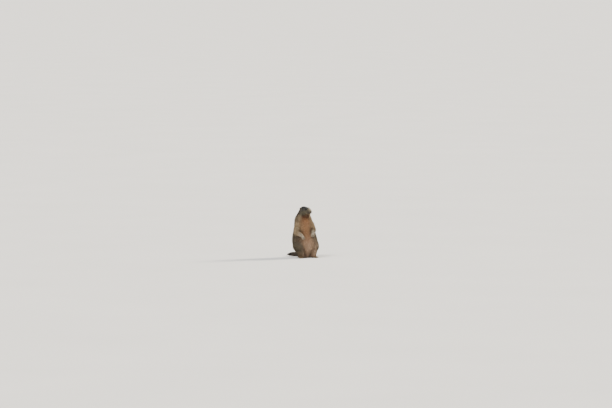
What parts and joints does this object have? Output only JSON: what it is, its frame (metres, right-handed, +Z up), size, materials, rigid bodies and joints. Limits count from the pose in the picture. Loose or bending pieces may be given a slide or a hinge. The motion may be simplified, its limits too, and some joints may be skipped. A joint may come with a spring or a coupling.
{
  "type": "sitting alpine marmot",
  "caption": "Life-size still model of an alpine marmot sitting upright on its haunches, forepaws hanging, head turned.",
  "frame": {"origin": "on the floor, at the middle of the bounding box's footprint", "axes": "+Z up, the body faces -Y, the animal's left side is towards +X"},
  "size_m": [0.2452, 0.3394, 0.4598],
  "materials": {
    "crown": "short dark grey fur",
    "coat": "dense grey-brown fur with dark tips",
    "belly": "rust-orange fur on the chest and belly",
    "foot": "short tan fur",
    "tail": "bushy brown fur with a black tip",
    "eye": "wet, near black",
    "nose": "bare, moist black skin",
    "claw": "dark horn, slightly glossy"
  },
  "bodies": {
    "root": {"head": "crown", "ear_left": "crown", "ear_right": "crown", "neck": "coat", "upper_arm_left": "coat", "forearm_left": "coat", "upper_arm_right": "coat", "forearm_right": "coat", "hind_leg_left": "coat", "hind_leg_right": "coat", "torso": "belly", "forepaw_left": "foot", "forepaw_right": "foot", "hind_foot_left": "foot", "hind_foot_right": "foot", "tail": "tail", "eye_left": "eye", "eye_right": "eye", "nose": "nose", "claw_fore_left_1": "claw", "claw_fore_left_2": "claw", "claw_fore_left_3": "claw", "claw_fore_left_4": "claw", "claw_fore_right_1": "claw", "claw_fore_right_2": "claw", "claw_fore_right_3": "claw", "claw_fore_right_4": "claw", "claw_hind_left_1": "claw", "claw_hind_left_2": "claw", "claw_hind_left_3": "claw", "claw_hind_left_4": "claw", "claw_hind_left_5": "claw", "claw_hind_right_1": "claw", "claw_hind_right_2": "claw", "claw_hind_right_3": "claw", "claw_hind_right_4": "claw", "claw_hind_right_5": "claw"}
  },
  "joints": []
}
